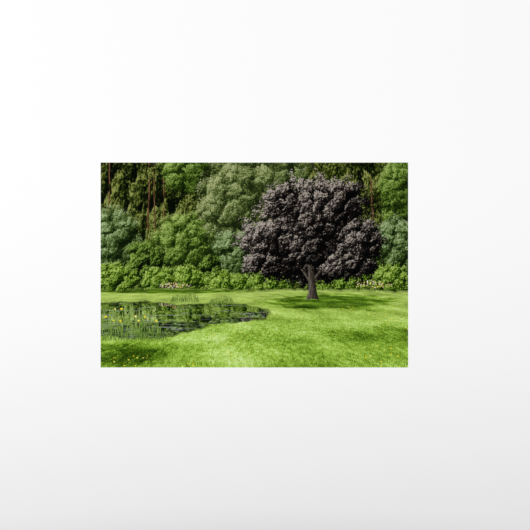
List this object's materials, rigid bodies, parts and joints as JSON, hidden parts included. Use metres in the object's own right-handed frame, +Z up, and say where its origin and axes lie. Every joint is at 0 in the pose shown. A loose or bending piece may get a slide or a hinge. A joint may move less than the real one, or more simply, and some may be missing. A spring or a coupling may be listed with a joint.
{
  "type": "frameless wall print",
  "caption": "Flat frameless wall print, landscape format: an edge-to-edge photographic sheet bonded to thin foam board, held flat to a wall by pads of mounting tape.",
  "frame": {"origin": "middle of the print on the wall's own surface, which is the rear face of the middle tape pad", "axes": "+X to the right of someone facing the print, +Y into the wall, +Z up; the picture faces -Y"},
  "size_m": [0.9144, 0.0063, 0.6096],
  "materials": {
    "printed_paper": "matte",
    "liner_paper": "matte",
    "foam_core": "matte",
    "mounting_tape": "satin"
  },
  "bodies": {
    "root": {"printed_sheet": "printed_paper", "front_liner": "liner_paper", "foam_core": "foam_core", "back_liner": "liner_paper", "tape_centre": "mounting_tape", "tape_top_left": "mounting_tape", "tape_top_middle": "mounting_tape", "tape_top_right": "mounting_tape", "tape_bottom_left": "mounting_tape", "tape_bottom_middle": "mounting_tape", "tape_bottom_right": "mounting_tape"}
  },
  "joints": []
}
